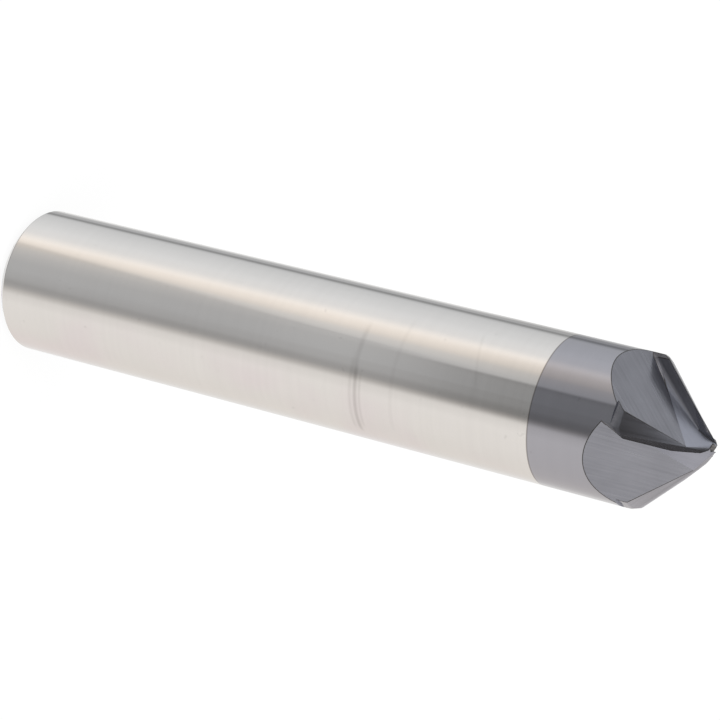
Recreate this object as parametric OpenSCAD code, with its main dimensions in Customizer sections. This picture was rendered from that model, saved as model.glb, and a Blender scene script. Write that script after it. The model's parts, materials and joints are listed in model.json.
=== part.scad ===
// Solid carbide 90 degree chamfer mill, four flutes, right-hand cutting, coated cutting end.
// One ground piece. It stands on its flat back end, axis on +Z, point up. All sizes in mm.

/* [Shank] */
// Ground shank diameter, three quarters of an inch
shank_d = 19.05; // [6:0.01:32]
// Length over everything, four inches
overall_len = 101.6; // [60:0.1:160]
// Width of the 45 degree bevel round the back end
back_bevel = 1.27; // [0.2:0.01:2.5]

/* [Point] */
// Half of the point angle, measured along one cutting edge
edge_half_angle = 45.5; // [30:0.1:60]
// How far the straight cutting edge runs ahead of the centre
edge_ahead = 1.58; // [0.2:0.01:3]
// Axial distance from the point's end up to where the edge line would cross the axis plane
edge_overshoot = 0.845; // [0.2:0.001:3]
// Width of the narrow margin right behind the cutting edge
margin_w = 0.42; // [0.1:0.01:1.5]
// Drop of the margin per mm behind the edge
margin_drop = 0.07; // [0:0.005:0.3]
// Drop of the wide land per mm behind the margin
land_drop = 0.327; // [0.05:0.005:0.5]

/* [Outer corner] */
// Length along the outside of the bevel that breaks each tooth's outer corner
corner_bevel = 0.35; // [0.1:0.01:2]
// Distance behind the cutting edge at which the corner's relief starts
corner_margin = 0.7; // [0.2:0.01:3]
// Drop of the corner's relief per mm behind that
corner_drop = 0.69; // [0.1:0.01:1]

/* [Flutes] */
// Number of flutes
flutes = 4; // [2:2:4]
// Slope of the flat flute floor, from a plane square to the axis
floor_angle = 51.4; // [35:0.1:70]
// Direction in which the floor falls away, turned ahead of its tooth
floor_turn = 33.3; // [0:0.1:60]
// Depth below the end at which the floor plane meets the axis
floor_depth = 0.97; // [0:0.01:4]
// Slope of the steeper web facet between floor and rake face
web_angle = 59.8; // [45:0.1:75]
// Direction in which the web facet falls away
web_turn = 44.9; // [0:0.1:70]
// Height above the end at which the web facet's plane meets the axis
web_rise = 0.588; // [0.2:0.001:3]
// Lean of the rake face under its cutting edge
rake_angle = 30.9; // [0:0.1:40]
// How far in from the outside the narrow outer strip of the rake face meets the edge
strip_in = 0.225; // [0.1:0.005:2]
// The same point, ahead of the centre
strip_ahead = 1.36; // [0:0.01:3]
// Turn of that strip in plan
strip_turn = -16.2; // [-45:0.1:20]
// Lean of that strip
strip_lean = 22.4; // [0:0.1:40]

/* [Centre] */
// Point on the inner edge of each tooth, out along the tooth
inner_out = 2.82; // [1:0.01:5]
// The same point, ahead of the centre
inner_ahead = 1.2; // [0:0.01:3]
// Turn of that inner edge in plan
inner_turn = 12; // [0:0.1:45]
// Where the last stretch to the centre starts, out along the tooth
last_out = 1.6; // [0.5:0.01:4]
// The same point, ahead of the centre
last_ahead = 0.85; // [0:0.01:3]
// Turn of the last stretch in plan
last_turn = 37; // [0:0.1:60]
// Depth of the small cross cut over the centre
cross_depth = 0.45; // [0:0.01:1.5]
// Half width of the two peaks that the cross cut leaves
peak_half_w = 0.35; // [0.1:0.01:1]
// Half width of the gap between the two peaks
peak_gap = 0.4; // [0.1:0.01:0.7]

/* [Outside relief] */
// Distance from the tooth's outer corner back to the step where the relief starts
relief_back = 1.46; // [0.5:0.01:5]
// Where the relief plane leaves the round outside, turned ahead of the tooth's centre line
relief_turn = 1.1; // [0:0.1:6]
// Slope of the relief plane behind that line
relief_angle = 14.7; // [5:0.1:40]
// Fall of the relief plane towards the point
relief_fall = 6.3; // [0:0.1:20]

/* [Hidden] */
$fn = 96;
big = 60;
shank_r = shank_d / 2;
edge_slope = 1 / tan(edge_half_angle);
edge_top = overall_len + edge_overshoot;
strip_out = shank_r - strip_in;
// Place of the tooth's outer corner, and height of the step behind it
corner_out = sqrt(shank_r * shank_r - edge_ahead * edge_ahead);
corner_z = edge_top - edge_slope * corner_out;
relief_z = corner_z - relief_back;
// The corner's bevel leans half as far from the axis as the cutting edge
corner_slope = 1 / tan(edge_half_angle / 2);
corner_top = corner_z + corner_slope * corner_out;
rake_at = shank_r / 2;

// Everything above a plane that crosses the axis at height h and falls at angle tilt towards turn
module above(h, tilt, turn) {
    translate([0, 0, h])
        rotate([0, tilt, turn])
            translate([-big / 2, -big / 2, 0])
                cube(big);
}

// Everything above a land plane through the line z = top - slope * x at y = at, falling by drop behind it
module above_land(top, slope, at, drop) {
    above(
        top - drop * at,
        atan(sqrt(slope * slope + drop * drop)),
        -atan2(drop, slope)
    );
}

// Everything above one tooth's narrow margin, its wide land, and the bevel on its outer corner
module above_tooth() {
    above_land(edge_top, edge_slope, edge_ahead, margin_drop);
    above_land(edge_top - margin_drop * margin_w, edge_slope, edge_ahead - margin_w, land_drop);
    above_land(corner_top - corner_bevel, corner_slope, edge_ahead, margin_drop);
}

// Everything ahead of an upright plane through one point of the plan
module ahead_of(out, ahead, turn) {
    translate([out, ahead, overall_len - 20])
        rotate([0, 0, turn])
            translate([-big / 2, 0, 0])
                cube([big, big, 40]);
}

// Everything ahead of the leaning rake face, which holds the straight cutting edge
module ahead_of_rake() {
    translate([rake_at, edge_ahead, edge_top - edge_slope * rake_at])
        rotate(-rake_angle, [1, 0, -edge_slope])
            translate([-big / 2, 0, -big / 2])
                cube(big);
}

// Everything ahead of the narrow outer strip of the rake face
module ahead_of_strip() {
    translate([strip_out, strip_ahead, edge_top - edge_slope * strip_out])
        rotate([0, 0, strip_turn])
            rotate([-strip_lean, 0, 0])
                translate([-big / 2, 0, -big / 2])
                    cube(big);
}

// The ground-away space of the flute ahead of one tooth
module flute() {
    intersection() {
        above(overall_len - floor_depth, floor_angle, floor_turn);
        above(overall_len + web_rise, web_angle, web_turn);
        union() {
            ahead_of_rake();
            ahead_of_strip();
            ahead_of(inner_out, inner_ahead, inner_turn);
            ahead_of(last_out, last_ahead, last_turn);
        }
    }
}

// Relief of the round outside and of the corner behind one tooth's edge, up to a step facing the point
module outside_relief() {
    intersection() {
        union() {
            translate([shank_r * cos(relief_turn), shank_r * sin(relief_turn), relief_z])
                rotate([0, -relief_fall, 0])
                    rotate([0, 0, -relief_angle])
                        translate([0, -big / 2, -big / 2])
                            cube(big);
            above_land(corner_top, corner_slope, edge_ahead - corner_margin, corner_drop);
        }
        translate([0, -big / 2, relief_z])
            cube(big);
    }
}

// The small cross cut over the centre
module cross_cut() {
    bottom = overall_len - cross_depth;
    translate([-2, -peak_gap, bottom])
        cube([4, 2 * peak_gap, 2]);
    for (side = [0, 180])
        rotate([0, 0, side])
            translate([peak_half_w, -2, bottom])
                cube([2, 4, 2]);
}

module blank() {
    cylinder(h = back_bevel, r1 = shank_r - back_bevel, r2 = shank_r);
    translate([0, 0, back_bevel])
        cylinder(h = overall_len - back_bevel, r = shank_r);
}

module chamfer_mill() {
    color("silver")
        difference() {
            blank();
            for (i = [0 : flutes - 1])
                rotate([0, 0, i * 360 / flutes]) {
                    above_tooth();
                    flute();
                    outside_relief();
                }
            cross_cut();
        }
}

chamfer_mill();
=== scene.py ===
import json
import math

import bmesh
import bpy
from mathutils import Matrix, Vector

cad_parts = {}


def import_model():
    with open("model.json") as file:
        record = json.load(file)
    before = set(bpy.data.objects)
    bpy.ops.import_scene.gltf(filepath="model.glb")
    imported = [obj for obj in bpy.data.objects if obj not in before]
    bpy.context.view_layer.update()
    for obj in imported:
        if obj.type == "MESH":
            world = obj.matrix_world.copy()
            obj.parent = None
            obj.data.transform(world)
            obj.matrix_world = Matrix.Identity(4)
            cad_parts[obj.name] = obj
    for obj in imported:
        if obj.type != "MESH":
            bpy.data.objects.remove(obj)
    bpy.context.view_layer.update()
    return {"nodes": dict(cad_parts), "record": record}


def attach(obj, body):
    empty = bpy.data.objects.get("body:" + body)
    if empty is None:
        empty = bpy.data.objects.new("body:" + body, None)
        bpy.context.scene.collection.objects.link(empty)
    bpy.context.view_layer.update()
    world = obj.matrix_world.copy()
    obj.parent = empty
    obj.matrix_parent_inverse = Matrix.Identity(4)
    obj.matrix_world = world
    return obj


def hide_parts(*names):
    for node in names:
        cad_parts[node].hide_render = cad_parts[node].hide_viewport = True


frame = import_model()

# Sizes on the mill are in mm and angles in degrees; Z runs up its axis to the point
MM = 0.001
SHANK_R = frame["record"]["mounts"][0]["dims"]["r_mm"]
FLUTES = 4

# Height at which the coating starts, the blur of its border, and the line along it: half width and share
COATING_EDGE = 81.08
COATING_BLUR = 0.06
COATING_LINE = 0.16
COATING_LINE_SHARE = 0.6

# Flats of the point, as the part's source makes them: slope, and direction in the first tooth's quarter
FLOOR = (51.4, 33.3)
WEB = (59.8, 44.9)
LAND = (46.0, -18.4)
CORNER_RELIEF = (68.1, -16.1)
RELIEF = (83.9, -14.8)
RAKE = (111.5, 112.8)
STRIP = (112.4, 73.8)
LEDGE = (0.0, 0.0)
GROUND_FLATS = (FLOOR, WEB, LAND, CORNER_RELIEF, RELIEF, RAKE, STRIP)
# How far a face may lean from a flat that it belongs to
FLAT_LEAN = 1.5
# Angle of the cutting edges to the axis
CUTTING_EDGE = 45.5
# The small ledges under the teeth's corners lie below this height
LEDGES_BELOW = 92.5

# The CAD copy's points merge within this distance, and its triangles into flats within this angle
MERGE_WITHIN = 0.001
FLAT_WITHIN = 0.2
# Rounding at the flutes' roots, and the broken edges: widths, steps, and how sharp an edge is broken
ROOT_ROUND = 0.8
ROOT_STEPS = 12
BROKEN_EDGE = 0.06
BROKEN_STEPS = 2
BROKEN_FROM = 26
# Edges sharper than this stay creases in the shading
CREASE_FROM = 35
# A face is on the round wall when its middle lies this near the shank's radius, and when the Z of its
# outward direction is less than this
WALL_REACH = 0.12
WALL_RISE = 0.03

# Metal colours, linear
BARE = (0.655, 0.65, 0.645, 1.0)
# Rosy tint for patches on one side of the bare metal: a painted warm reflection
BARE_WARM_REFLECTION = (0.65, 0.62, 0.635, 1.0)
COAT = (0.344, 0.348, 0.386, 1.0)
# The same coating, lightened and blued for the webs and the ledges: a painted sheen
WEB_COAT_PAINTED_SHEEN = (0.41, 0.42, 0.48, 1.0)
# Near-black colour for the broken edges and creases: a painted shade along them
EDGE_PAINTED_SHADE = (0.105, 0.1, 0.1, 1.0)
RUB_COLOUR = (0.1, 0.085, 0.075, 1.0)

# The finishes, in the order in which the mill's mesh lists them
WALL_FINISH, FLAT_FINISH, EDGE_PAINTED_SHADE_FINISH, WEB_PAINTED_SHEEN_FINISH, RAKE_FINISH = range(5)
# Finishes of the point: colour, how strongly the wheel's lines change it, smoothest and roughest
FLAT_LOOK = (COAT, 0.15, 0.2, 0.3)
WEB_LOOK_PAINTED_SHEEN = (WEB_COAT_PAINTED_SHEEN, 0.16, 0.36, 0.5)
RAKE_LOOK = (COAT, 0.16, 0.42, 0.56)
EDGE_LOOK_PAINTED_SHADE = (EDGE_PAINTED_SHADE, 0.3, 0.3, 0.42)
# The same for the round wall, whose colour changes at the coating
WALL_LINE_STRENGTH = 0.018
WALL_ROUGHNESS = (0.09, 0.11)
# The rings of lines on the wall spread a reflection along the mill more than round it
WALL_ANISOTROPY = 0.5
QUARTER_TURN = 0.25
# The flats are a little less than full metal, which leaves them faintly matt
GROUND_METALLIC = 0.972

# How closely the wheel's lines lie along each axis, per metre; on the point, Z is along the cutting edge
WALL_LINES = (15.0, 15.0, 5000.0)
FLAT_LINES = (2600.0, 2600.0, 90.0)
EDGE_LINES = (2600.0, 2600.0, 300.0)
# Broad bands lie among the fine lines, this much less closely
BAND_SHARE = 0.16
# Depth of the scratches on the flats, in metres
SCRATCH_DEPTH = 0.000005
# How closely the soft clouds, rosy patches and dark specks lie, per metre
WALL_CLOUD_SCALE = 110.0
FLAT_CLOUD_SCALE = 260.0
PATCH_SCALE = 60.0
SPECK_SCALE = 900.0
# How far the noise of the lines, bands and clouds is taken to swing about its middle
LINE_REACH = 0.22
BAND_REACH = 0.2
CLOUD_REACH = 0.2
# Levels by which the clouds change the colour
WALL_CLOUDS = (0.99, 1.01)
FLAT_CLOUDS = (0.95, 1.05)
# Noise at which a patch or a speck starts and is full, and the level of a speck
PATCHES = (0.42, 0.62)
SPECKS = (0.73, 0.8)
SPECK_LEVEL = 0.93
# The rosy patches start and are full this far out along Y; keeping the tint to that side is a painted warm
# reflection
WARM_REFLECTION_FROM = 2.0
WARM_REFLECTION_FULL = 6.0

# Rubbed rings on the shank: height, rise a degree, half width, how dark, first and last degree round
RUB_MARKS = (
    (56.65, 0.0, 0.5, 0.26, 8, 62),
    (57.3, 0.0, 0.35, 0.12, 12, 56),
    (55.9, 0.0, 0.45, 0.1, 0, 60),
    (56.4, 0.0, 0.6, 0.12, -26, 14),
    (61.8, 0.0, 0.5, 0.045, -40, 52),
    (73.3, 0.045, 0.4, 0.05, -42, 0),
)
# Degrees over which a ring fades in at its start and out at its end, on either side
RUB_START_FADE = 8
RUB_END_FADE = 5

# Camera, in mm, and the roll that lays the standing mill across the picture
CAMERA_PLACE = Vector((333.96, 0.0, 241.07))
CAMERA_AIM = Vector((-13.88, 0.12, 43.56))
CAMERA_ROLL = 104.14
CAMERA_LENS = 151.33
SENSOR = 36.0
# Nearest and farthest that it sees, in metres
CAMERA_CLIP = (0.01, 50)

# Stage, in metres and watts; the left lamp is the right one mirrored in Y
FLOOR_SIZE = 12
PAPER = (0.8, 0.8, 0.8, 1.0)
WHITE = (1.0, 1.0, 1.0, 1.0)
WORLD_GREY = (0.7, 0.7, 0.7, 1.0)
PAPER_GLOW = 1.05
PAPER_GLOW_SHARE = 0.85
LAMP_SIZE = 2.2
LAMP_WATTS = 20
RIGHT_LAMP = Vector((0.9, 1.2, 1.3))
LAMP_AIM = Vector((0.0, 0.0, 0.05))

# The tent of cloth, whose middle is the mill's foot: a height on it is the sine of the angle above
# level, and a direction is in degrees round the mill
TENT_RADIUS = 2.5
TENT_SUBDIVISIONS = 4
TENT_LIGHT = 1.12
# Its cloth below and above, by direction: brightness, then warmth
LOW_CLOTH = (
    (-180, 0.85, 0.2), (-168, 0.84, 0.2), (-160, 0.73, 0.1), (-151, 0.5, 0.0), (-143, 0.5, -0.1),
    (-139, 0.32, -0.1), (-135, 0.32, -0.1), (-131, 0.58, -0.1), (-127, 0.71, -0.1), (-105, 0.83, 0.0),
    (-88, 0.92, 0.1), (-74, 0.96, 0.4), (-67, 1.06, 1.0), (-61, 1.12, 1.5), (-54, 1.03, 1.9),
    (-46, 0.88, 1.7), (-40, 0.8, 0.9), (-32, 0.73, 0.5), (-20, 0.66, 0.2), (-5, 0.65, 0.1),
    (8, 0.6, 0.2), (17, 0.5, 0.4), (23, 0.5, 0.6), (28, 0.62, 1.0), (35, 0.85, 0.9),
    (50, 0.95, 0.9), (85, 0.92, 1.0), (130, 0.85, 1.2), (156, 0.82, 0.7), (180, 0.82, 0.0),
)
HIGH_CLOTH = (
    (-180, 1.2, 0.4), (-170, 0.5, 0.2), (-158, 0.22, 0.0), (-118, 0.36, 0.0), (-90, 1.0, -0.5),
    (-68, 0.6, -0.5), (-45, 0.25, -0.2), (-20, 0.18, 0.0), (10, 0.15, 0.0), (35, 0.35, 0.0),
    (60, 0.68, 0.2), (76, 0.97, 0.2), (95, 0.64, 1.1), (137, 0.85, 1.0), (180, 1.2, 0.4),
)
# How much a warmth of 1 adds to the red and takes from the blue
WARMTH = 0.05
# Heights at which the cloth above starts to show, and shows alone
HIGH_CLOTH_FROM = -0.38
HIGH_CLOTH_FULL = -0.1
# A darker panel in the low cloth: where it starts and ends at the height PANEL_AT, how far both lean for
# a rise of 1, and how far they blur. Above one height the start stands upright
PANEL_AT = -0.47
PANEL_START = -26.0
PANEL_START_LEAN = 185.0
PANEL_START_UPRIGHT_FROM = -0.45
PANEL_START_BLUR = 1.6
PANEL_END = 28.5
PANEL_END_LEAN = 50.0
PANEL_END_BLUR = 8.0
# Thin dark seam along the panel's start: outer and inner half width, and brightness
SEAM_OUTER = 2.4
SEAM_INNER = 0.4
SEAM_LEVEL = 0.8
# How bright the panel is, by height
PANEL_FADE = (
    (-0.6, 0.84), (-0.52, 0.78), (-0.47, 0.93), (-0.455, 0.8), (-0.44, 0.51), (-0.4, 0.49), (-0.2, 0.5),
)
# How far the cloth darkens where only the coated end mirrors it, by direction, and from which height
POINT_SHADE = (
    (-180, 0.2), (-152, 0.2), (-140, 0.0), (-64, 0.0), (-54, 0.16), (-40, 0.24), (-26, 0.2), (-16, 0.0),
)
POINT_SHADE_FROM = -0.445
POINT_SHADE_FULL = -0.425
# Dark ground on one side: its middle, the degrees from there within which it is full and beyond which
# it is gone, and the heights under which it starts and is full
BELOW = (0.09, 0.085, 0.082, 1.0)
BELOW_TOWARDS = -56.0
BELOW_FULL_WITHIN = 60.0
BELOW_GONE_BEYOND = 100.0
BELOW_FROM = -0.64
BELOW_FULL_FROM = -0.8
# Dark ceiling, and its share by height
CEILING = (0.056, 0.05, 0.047, 1.0)
CEILING_SHARE = ((0.4, 0.0), (0.66, 0.12), (0.8, 0.92), (1.0, 1.0))


def only(piece):
    """Makes one object the only one selected, and active."""
    bpy.ops.object.select_all(action="DESELECT")
    piece.select_set(True)
    bpy.context.view_layer.objects.active = piece


class Wiring:
    """Short ways to add shader nodes and wire them."""

    def __init__(self, tree):
        self.tree = tree

    def add(self, kind, **values):
        """Adds a node; each value is for the node's own setting of that name, or else for its socket."""
        node = self.tree.nodes.new(kind)
        for name, value in values.items():
            if hasattr(node, name):
                setattr(node, name, value)
            else:
                self.put(value, node.inputs[name.replace("_", " ")])
        return node

    def put(self, value, socket):
        """Links another node's socket to this one, or sets this one to a plain value."""
        if isinstance(value, bpy.types.NodeSocket):
            self.tree.links.new(value, socket)
        else:
            socket.default_value = value

    def math(self, operation, *values):
        node = self.add("ShaderNodeMath", operation=operation)
        for value, socket in zip(values, node.inputs):
            self.put(value, socket)
        return node.outputs[0]

    def mix(self, amount, first, second, blend="MIX"):
        """Mixes two colours, whose sockets come after those for numbers and vectors."""
        node = self.add("ShaderNodeMix", data_type="RGBA", blend_type=blend, Factor=amount)
        self.put(first, node.inputs[6])
        self.put(second, node.inputs[7])
        return node.outputs[2]

    def between(self, value, low, high, to_low=0.0, to_high=1.0, smooth=True):
        """value from low..high to to_low..to_high, clamped."""
        node = self.add("ShaderNodeMapRange", interpolation_type="SMOOTHSTEP" if smooth else "LINEAR")
        for amount, name in (
            (value, "Value"), (low, "From Min"), (high, "From Max"), (to_low, "To Min"), (to_high, "To Max"),
        ):
            self.put(amount, node.inputs[name])
        return node.outputs[0]

    def noise(self, vector, scale=1.0, detail=2.0):
        return self.add("ShaderNodeTexNoise", Vector=vector, Scale=scale, Detail=detail).outputs["Fac"]

    def swing(self, noise, reach, low=-1.0, high=1.0):
        """The noise within reach of its middle, spread over low..high."""
        return self.between(noise, 0.5 - reach, 0.5 + reach, low, high, smooth=False)

    def ramp(self, value, stops):
        """A colour ramp from (place, colour) stops."""
        node = self.add("ShaderNodeValToRGB")
        points = node.color_ramp.elements
        while len(points) < len(stops):
            points.new(0.5)
        for point, (place, colour) in zip(points, stops):
            point.position = place
            point.color = colour
        self.put(value, node.inputs[0])
        return node.outputs[0]

    def times(self, colour, level):
        """A colour made darker or lighter by a plain level."""
        grey = self.add("ShaderNodeCombineColor", Red=level, Green=level, Blue=level).outputs[0]
        return self.mix(1.0, colour, grey, "MULTIPLY")


def new_material(name):
    """A material without nodes, and the wiring for them."""
    material = bpy.data.materials.new(name)
    material.use_nodes = True
    material.node_tree.nodes.clear()
    return material, Wiring(material.node_tree)


def finish_with(material, wire, colour, roughness, normal=None, anisotropic=0.0, metallic=1.0):
    """Wires one metal finish to the material's output; metallic below 1 leaves it a little matt."""
    shader = wire.add("ShaderNodeBsdfPrincipled")
    shader.inputs["Metallic"].default_value = metallic
    wire.put(colour, shader.inputs["Base Color"])
    wire.put(roughness, shader.inputs["Roughness"])
    if normal:
        wire.put(normal, shader.inputs["Normal"])
    if anisotropic:
        shader.inputs["Anisotropic"].default_value = anisotropic
        shader.inputs["Anisotropic Rotation"].default_value = QUARTER_TURN
        round_way = wire.add("ShaderNodeTangent", direction_type="RADIAL", axis="Z")
        wire.put(round_way.outputs[0], shader.inputs["Tangent"])
    wire.add("ShaderNodeOutputMaterial", Surface=shader.outputs[0])
    return material


def grinding_group():
    """Group: fine lines left by the wheel, as a level near 1 and as a height; Stretch sets their way."""
    group = bpy.data.node_groups.new("grinding_lines", "ShaderNodeTree")
    sockets = group.interface
    sockets.new_socket("Vector", in_out="INPUT", socket_type="NodeSocketVector")
    sockets.new_socket("Stretch", in_out="INPUT", socket_type="NodeSocketVector")
    sockets.new_socket("Strength", in_out="INPUT", socket_type="NodeSocketFloat")
    sockets.new_socket("Level", in_out="OUTPUT", socket_type="NodeSocketFloat")
    sockets.new_socket("Height", in_out="OUTPUT", socket_type="NodeSocketFloat")
    wire = Wiring(group)
    given = wire.add("NodeGroupInput").outputs
    lines = wire.add("ShaderNodeVectorMath", operation="MULTIPLY")
    wire.put(given["Vector"], lines.inputs[0])
    wire.put(given["Stretch"], lines.inputs[1])
    bands = wire.add("ShaderNodeVectorMath", operation="SCALE", Scale=BAND_SHARE)
    wire.put(lines.outputs[0], bands.inputs[0])
    fine = wire.swing(wire.noise(lines.outputs[0], detail=3.0), LINE_REACH)
    soft = wire.swing(wire.noise(bands.outputs[0], detail=1.0), BAND_REACH)
    both = wire.math("ADD", wire.math("MULTIPLY", fine, 0.5), wire.math("MULTIPLY", soft, 0.5))
    level = wire.math("MULTIPLY_ADD", both, given["Strength"], 1.0)
    wire.add("NodeGroupOutput", Level=level, Height=both)
    return group


def grinding(wire, vector, stretch, strength):
    """Places the grinding group in a material."""
    node = wire.add("ShaderNodeGroup")
    node.node_tree = bpy.data.node_groups.get("grinding_lines") or grinding_group()
    wire.put(vector, node.inputs["Vector"])
    node.inputs["Stretch"].default_value = stretch
    node.inputs["Strength"].default_value = strength
    return node.outputs["Level"], node.outputs["Height"]


def roughness_along(wire, lines, smoothest, roughest):
    """Roughness that follows the wheel's lines, whose height runs from -1 to 1."""
    return wire.between(lines, -1.0, 1.0, smoothest, roughest, smooth=False)


def rub_mark(wire, height, around, mark):
    """How dark one rubbed ring is: most at its height, and fading out at both ends."""
    at, rise, half_width, dark, first, last = mark
    middle = wire.math("MULTIPLY_ADD", around, rise, at)
    off = wire.math("ABSOLUTE", wire.math("SUBTRACT", height, middle))
    band = wire.between(off, half_width, 0.0)
    start = wire.between(around, first - RUB_START_FADE, first + RUB_START_FADE)
    end = wire.between(around, last + RUB_END_FADE, last - RUB_END_FADE)
    shown = wire.math("MULTIPLY", wire.math("MULTIPLY", band, start), end)
    return wire.math("MULTIPLY", shown, dark)


def bare_carbide_and_warm_reflection(wire, place, y):
    """Colour of the bare metal: random rosy patches, kept to one side as a painted warm reflection."""
    patches = wire.between(wire.noise(place, PATCH_SCALE), *PATCHES)
    side = wire.between(y, WARM_REFLECTION_FROM * MM, WARM_REFLECTION_FULL * MM)
    return wire.mix(wire.math("MULTIPLY", patches, side), BARE, BARE_WARM_REFLECTION)


def turned_carbide():
    """The round outside: bare ground carbide, and the coating over its cutting end."""
    material, wire = new_material("turned_carbide")
    place = wire.add("ShaderNodeTexCoord").outputs["Object"]
    x, y, z = wire.add("ShaderNodeSeparateXYZ", Vector=place).outputs
    height = wire.math("MULTIPLY", z, 1 / MM)
    around = wire.math("DEGREES", wire.math("ARCTAN2", y, x))
    level, lines = grinding(wire, place, WALL_LINES, WALL_LINE_STRENGTH)
    specks = wire.between(wire.noise(place, SPECK_SCALE, detail=1.0), *SPECKS, 1.0, SPECK_LEVEL)
    clouds = wire.swing(wire.noise(place, WALL_CLOUD_SCALE), CLOUD_REACH, *WALL_CLOUDS)
    level = wire.math("MULTIPLY", wire.math("MULTIPLY", level, specks), clouds)
    coated = wire.between(height, COATING_EDGE - COATING_BLUR, COATING_EDGE + COATING_BLUR)
    colour = wire.mix(coated, bare_carbide_and_warm_reflection(wire, place, y), COAT)
    from_edge = wire.math("ABSOLUTE", wire.math("SUBTRACT", height, COATING_EDGE))
    border = wire.between(from_edge, COATING_LINE, 0.0)
    colour = wire.mix(wire.math("MULTIPLY", border, COATING_LINE_SHARE), colour, RUB_COLOUR)
    rubbed = 0.0
    for mark in RUB_MARKS:
        rubbed = wire.math("ADD", rubbed, rub_mark(wire, height, around, mark))
    colour = wire.times(wire.mix(rubbed, colour, RUB_COLOUR), level)
    roughness = roughness_along(wire, lines, *WALL_ROUGHNESS)
    return finish_with(material, wire, colour, roughness, anisotropic=WALL_ANISOTROPY)


def along_edge(wire, place):
    """Object coordinates turned to each tooth's own quarter, with Z along its cutting edge."""
    quarter = wire.add("ShaderNodeAttribute", attribute_name="quarter").outputs["Fac"]
    angle = wire.math("MULTIPLY", quarter, -2 * math.pi / FLUTES)
    turn = wire.add("ShaderNodeVectorRotate", rotation_type="Z_AXIS", Vector=place, Angle=angle)
    lean = wire.add("ShaderNodeVectorRotate", rotation_type="Y_AXIS", Vector=turn.outputs[0])
    lean.inputs["Angle"].default_value = math.radians(CUTTING_EDGE)
    return lean.outputs[0]


def ground_flats(name, colour, strength, smoothest, roughest):
    """Coated flats of the point, with the wheel's lines along each tooth's edge."""
    material, wire = new_material(name)
    place = wire.add("ShaderNodeTexCoord").outputs["Object"]
    level, height = grinding(wire, along_edge(wire, place), FLAT_LINES, strength)
    clouds = wire.swing(wire.noise(place, FLAT_CLOUD_SCALE), CLOUD_REACH, *FLAT_CLOUDS)
    shade = wire.times(colour, wire.math("MULTIPLY", level, clouds))
    roughness = roughness_along(wire, height, smoothest, roughest)
    bump = wire.add("ShaderNodeBump", Strength=1.0, Distance=SCRATCH_DEPTH, Height=height)
    return finish_with(material, wire, shade, roughness, bump.outputs[0], metallic=GROUND_METALLIC)


def broken_edges_painted_shade():
    """The finely broken edges of the point, painted darker than the flats as a painted shade along the edges
    and creases.
    """
    colour, strength, smoothest, roughest = EDGE_LOOK_PAINTED_SHADE
    material, wire = new_material("broken_edges_painted_shade")
    place = wire.add("ShaderNodeTexCoord").outputs["Object"]
    level, height = grinding(wire, along_edge(wire, place), EDGE_LINES, strength)
    roughness = roughness_along(wire, height, smoothest, roughest)
    return finish_with(material, wire, wire.times(colour, level), roughness, metallic=GROUND_METALLIC)


def flat_normal(flat, quarter):
    """Outward direction of a flat in that quarter of the point."""
    slope, way = math.radians(flat[0]), math.radians(flat[1] + quarter * 360 / FLUTES)
    return Vector((math.sin(slope) * math.cos(way), math.sin(slope) * math.sin(way), math.cos(slope)))


def faces_like(mesh, *flats):
    """The faces of an edit mesh that lie like one of the flats, in any quarter of the point."""
    ways = [flat_normal(flat, quarter) for flat in flats for quarter in range(FLUTES)]
    nearly = math.cos(math.radians(FLAT_LEAN))
    return {face for face in mesh.faces if any(face.normal.dot(way) > nearly for way in ways)}


def mark_flats(piece):
    """Notes each flat's quarter and finish, which the roundings then take from their neighbours."""
    mesh = bmesh.from_edit_mesh(piece.data)
    note = mesh.faces.layers.float.new("quarter")
    ways = [(flat_normal(flat, quarter), quarter) for quarter in range(FLUTES) for flat in GROUND_FLATS]
    for face in mesh.faces:
        nearest = max(ways, key=lambda way: face.normal.dot(way[0]))
        face[note] = nearest[1]
        face.material_index = FLAT_FINISH
    # The webs and the ledges take the lighter coating, whose extra brightness is a painted sheen
    for face in faces_like(mesh, WEB, LEDGE):
        face.material_index = WEB_PAINTED_SHEEN_FINISH
    for face in faces_like(mesh, RAKE, STRIP):
        face.material_index = RAKE_FINISH
    bmesh.update_edit_mesh(piece.data)


def round_roots(piece):
    """Rounds the edges in which the flutes' floors and webs meet the rake faces."""
    mesh = bmesh.from_edit_mesh(piece.data)
    bpy.ops.mesh.select_all(action="DESELECT")
    bottoms, rakes = faces_like(mesh, FLOOR, WEB), faces_like(mesh, RAKE)
    for edge in mesh.edges:
        near = set(edge.link_faces)
        if near & bottoms and near & rakes:
            edge.select = True
    bmesh.update_edit_mesh(piece.data)
    bpy.ops.mesh.bevel(offset=ROOT_ROUND * MM, segments=ROOT_STEPS, profile=0.5, clamp_overlap=False)


def break_edges(piece):
    """Breaks the sharp edges very finely, save round the ledges, and paints them dark as a painted shade
    along them.
    """
    bpy.ops.mesh.select_all(action="DESELECT")
    bpy.ops.mesh.edges_select_sharp(sharpness=math.radians(BROKEN_FROM))
    mesh = bmesh.from_edit_mesh(piece.data)
    for face in faces_like(mesh, LEDGE):
        if face.calc_center_median().z < LEDGES_BELOW * MM:
            for edge in face.edges:
                edge.select_set(False)
    bmesh.update_edit_mesh(piece.data)
    bpy.ops.mesh.bevel(offset=BROKEN_EDGE * MM, segments=BROKEN_STEPS, profile=0.5, clamp_overlap=False)
    mesh = bmesh.from_edit_mesh(piece.data)
    for face in mesh.faces:
        if face.select:
            face.material_index = EDGE_PAINTED_SHADE_FINISH
    bmesh.update_edit_mesh(piece.data)
    bpy.ops.mesh.select_all(action="DESELECT")


def copied(node, name):
    """A copy of a CAD node with its own mesh and none of the node's notes, selected alone."""
    piece = node.copy()
    piece.data = node.data.copy()
    piece.name = name
    for key in list(piece.keys()):
        del piece[key]
    bpy.context.scene.collection.objects.link(piece)
    only(piece)
    return piece


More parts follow.
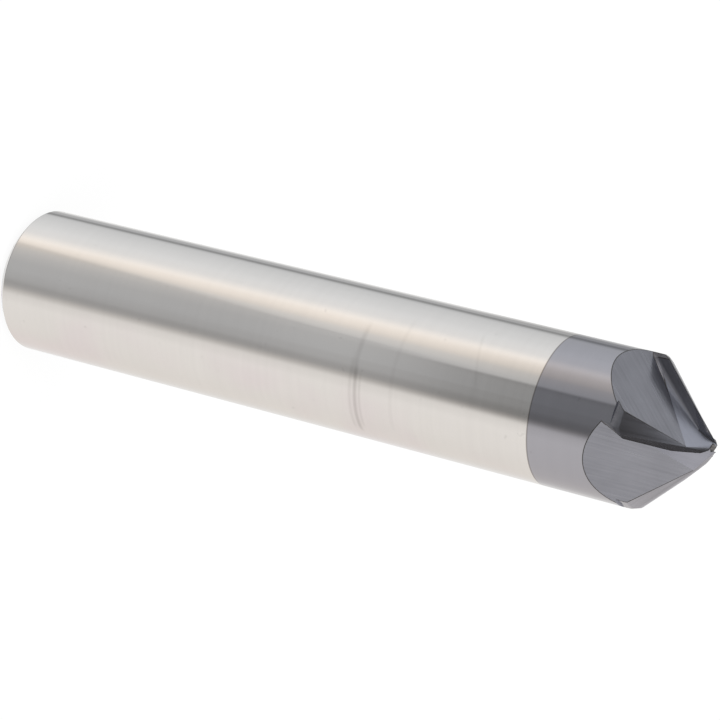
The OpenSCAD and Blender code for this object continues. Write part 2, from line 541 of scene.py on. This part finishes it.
def shape_mill(piece):
    """Merges the CAD copy's loose triangles into flats, then rounds the roots and breaks the edges."""
    bpy.ops.object.mode_set(mode="EDIT")
    bpy.ops.mesh.select_all(action="SELECT")
    bpy.ops.mesh.remove_doubles(threshold=MERGE_WITHIN * MM)
    bpy.ops.mesh.customdata_custom_splitnormals_clear()
    bpy.ops.mesh.dissolve_limited(angle_limit=math.radians(FLAT_WITHIN))
    bpy.ops.mesh.select_mode(type="EDGE")
    mark_flats(piece)
    round_roots(piece)
    break_edges(piece)
    bpy.ops.object.mode_set(mode="OBJECT")
    bpy.ops.object.shade_smooth_by_angle(angle=math.radians(CREASE_FROM))
    weigh = piece.modifiers.new("weigh", "WEIGHTED_NORMAL")
    weigh.keep_sharp = True
    bpy.ops.object.modifier_apply(modifier=weigh.name)


def finish_mill(piece):
    """Gives the mill its finishes; the shank and the round wall of the coated end share one."""
    finish_of = [face.material_index for face in piece.data.polygons]
    piece.data.materials.clear()
    finishes = (
        turned_carbide(),
        ground_flats("ground_flats", *FLAT_LOOK),
        # The broken edges' finish, whose dark colour is a painted shade
        broken_edges_painted_shade(),
        # The webs' and ledges' finish, whose lighter colour is a painted sheen
        ground_flats("ground_webs_painted_sheen", *WEB_LOOK_PAINTED_SHEEN),
        ground_flats("ground_rakes", *RAKE_LOOK),
    )
    for finish in finishes:
        piece.data.materials.append(finish)
    for face, finish in zip(piece.data.polygons, finish_of):
        x, y, z = face.center / MM
        on_wall = abs(math.hypot(x, y) - SHANK_R) < WALL_REACH and abs(face.normal.z) < WALL_RISE
        face.material_index = WALL_FINISH if on_wall or z < COATING_EDGE else finish


def ground_mill(node):
    """The mill's visible piece, made from its CAD solid."""
    piece = copied(node, "ground_mill")
    shape_mill(piece)
    finish_mill(piece)
    return piece


def cloth(wire, turn, stops):
    """A ring of tent cloth as a colour ramp over one turn, 0 to 1 from -180 degrees to 180."""
    colours = [
        (degrees / 360 + 0.5, (bright * (1 + WARMTH * warm), bright, bright * (1 - WARMTH * warm), 1.0))
        for degrees, bright, warm in stops
    ]
    return wire.ramp(turn, colours)


def levels(wire, value, stops, low=0.0, reach=1.0):
    """A plain ramp over a value, from (value, level) stops."""
    moved = wire.between(value, low, low + reach, smooth=False)
    return wire.ramp(moved, [((at - low) / reach, (level, level, level, 1.0)) for at, level in stops])


def hung_panel(wire, degrees, z):
    """What the dark panel and its seam leave of the low cloth's light."""
    leaning = wire.math("SUBTRACT", wire.math("MINIMUM", z, PANEL_START_UPRIGHT_FROM), PANEL_AT)
    start = wire.math("MULTIPLY_ADD", leaning, PANEL_START_LEAN, PANEL_START)
    end = wire.math("MULTIPLY_ADD", wire.math("SUBTRACT", z, PANEL_AT), PANEL_END_LEAN, PANEL_END)
    inside = wire.math("SUBTRACT", degrees, start)
    left = wire.math("SUBTRACT", end, degrees)
    started = wire.between(inside, -PANEL_START_BLUR, PANEL_START_BLUR)
    panel = wire.math("MULTIPLY", started, wire.between(left, -PANEL_END_BLUR, PANEL_END_BLUR))
    seam = wire.between(wire.math("ABSOLUTE", inside), SEAM_OUTER, SEAM_INNER, 1.0, SEAM_LEVEL)
    return wire.times(wire.mix(panel, WHITE, levels(wire, z, PANEL_FADE, -1.0, 1.0)), seam)


def low_ring(wire, turn, degrees, z):
    """The tent's cloth below the mill, with the panel, the shade and the dark ground."""
    low = wire.mix(1.0, cloth(wire, turn, LOW_CLOTH), hung_panel(wire, degrees, z), "MULTIPLY")
    shade = levels(wire, degrees, POINT_SHADE, -180.0, 360.0)
    shaded = wire.math("MULTIPLY", shade, wire.between(z, POINT_SHADE_FROM, POINT_SHADE_FULL))
    low = wire.mix(shaded, low, CEILING)
    aside = wire.math("ABSOLUTE", wire.math("SUBTRACT", degrees, BELOW_TOWARDS))
    near = wire.between(aside, BELOW_GONE_BEYOND, BELOW_FULL_WITHIN)
    under = wire.between(z, BELOW_FROM, BELOW_FULL_FROM)
    return wire.mix(wire.math("MULTIPLY", near, under), low, BELOW)


def light_tent():
    """What the metal mirrors: pale cloth all round with a darker panel, and a dark ceiling."""
    bpy.ops.mesh.primitive_ico_sphere_add(subdivisions=TENT_SUBDIVISIONS, radius=TENT_RADIUS)
    tent = bpy.context.active_object
    tent.name = "light_tent"
    material, wire = new_material("tent_cloth")
    towards = wire.add("ShaderNodeVectorMath", operation="NORMALIZE")
    wire.put(wire.add("ShaderNodeTexCoord").outputs["Object"], towards.inputs[0])
    x, y, z = wire.add("ShaderNodeSeparateXYZ", Vector=towards.outputs[0]).outputs
    turn = wire.math("ADD", wire.math("DIVIDE", wire.math("ARCTAN2", y, x), 2 * math.pi), 0.5)
    degrees = wire.math("MULTIPLY_ADD", turn, 360.0, -180.0)
    low = low_ring(wire, turn, degrees, z)
    high = wire.mix(levels(wire, z, CEILING_SHARE), cloth(wire, turn, HIGH_CLOTH), CEILING)
    colour = wire.mix(wire.between(z, HIGH_CLOTH_FROM, HIGH_CLOTH_FULL), low, high)
    glow = wire.add("ShaderNodeEmission", Color=colour, Strength=TENT_LIGHT)
    wire.add("ShaderNodeOutputMaterial", Surface=glow.outputs[0])
    tent.data.materials.append(material)
    tent.visible_camera = False
    tent.visible_diffuse = False
    tent.visible_shadow = False
    tent.visible_transmission = False


def shows_background(wire):
    """1 for the rays that show the white background itself: seen straight, mirrored or through glass."""
    rays = wire.add("ShaderNodeLightPath").outputs
    seen = wire.math("MAXIMUM", rays["Is Camera Ray"], rays["Is Glossy Ray"])
    return wire.math("MAXIMUM", seen, rays["Is Transmission Ray"])


def floor():
    """White paper that keeps the mill's soft shadow."""
    bpy.ops.mesh.primitive_plane_add(size=FLOOR_SIZE)
    plane = bpy.context.active_object
    plane.name = "floor"
    material, wire = new_material("floor_paper")
    paper = wire.add("ShaderNodeBsdfDiffuse", Color=PAPER)
    glow = wire.add("ShaderNodeEmission", Color=WHITE, Strength=PAPER_GLOW)
    mixed = wire.add("ShaderNodeMixShader")
    wire.put(wire.math("MULTIPLY", shows_background(wire), PAPER_GLOW_SHARE), mixed.inputs[0])
    wire.put(paper.outputs[0], mixed.inputs[1])
    wire.put(glow.outputs[0], mixed.inputs[2])
    wire.add("ShaderNodeOutputMaterial", Surface=mixed.outputs[0])
    plane.data.materials.append(material)
    plane.visible_glossy = False


def world():
    """Pale grey light from all round, in front of a white background."""
    sky = bpy.data.worlds.new("studio")
    sky.use_nodes = True
    sky.node_tree.nodes.clear()
    wire = Wiring(sky.node_tree)
    colour = wire.mix(shows_background(wire), WORLD_GREY, WHITE)
    back = wire.add("ShaderNodeBackground", Color=colour)
    wire.add("ShaderNodeOutputWorld", Surface=back.outputs[0])
    bpy.context.scene.world = sky


def lamp(name, place):
    """One large weak lamp that looks at the mill's middle."""
    light = bpy.data.lights.new(name, "AREA")
    light.size = LAMP_SIZE
    light.energy = LAMP_WATTS
    holder = bpy.data.objects.new(name, light)
    holder.location = place
    holder.rotation_euler = (LAMP_AIM - place).to_track_quat("-Z", "Y").to_euler()
    holder.visible_glossy = False
    bpy.context.scene.collection.objects.link(holder)


def camera():
    """The camera at the photograph's angle."""
    lens = bpy.data.cameras.new("camera")
    lens.lens = CAMERA_LENS
    lens.sensor_width = SENSOR
    lens.clip_start, lens.clip_end = CAMERA_CLIP
    holder = bpy.data.objects.new("camera", lens)
    look = (CAMERA_AIM - CAMERA_PLACE).to_track_quat("-Z", "Y").to_matrix().to_4x4()
    roll = Matrix.Rotation(math.radians(CAMERA_ROLL), 4, "Z")
    holder.matrix_world = Matrix.Translation(CAMERA_PLACE * MM) @ look @ roll
    bpy.context.scene.collection.objects.link(holder)
    bpy.context.scene.camera = holder


bpy.context.scene.view_settings.view_transform = "Standard"
camera()
world()
floor()
light_tent()
lamp("lamp_left", RIGHT_LAMP * Vector((1, -1, 1)))
lamp("lamp_right", RIGHT_LAMP)
mill = ground_mill(frame["nodes"]["chamfer_mill"])
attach(mill, "root")
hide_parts("chamfer_mill")
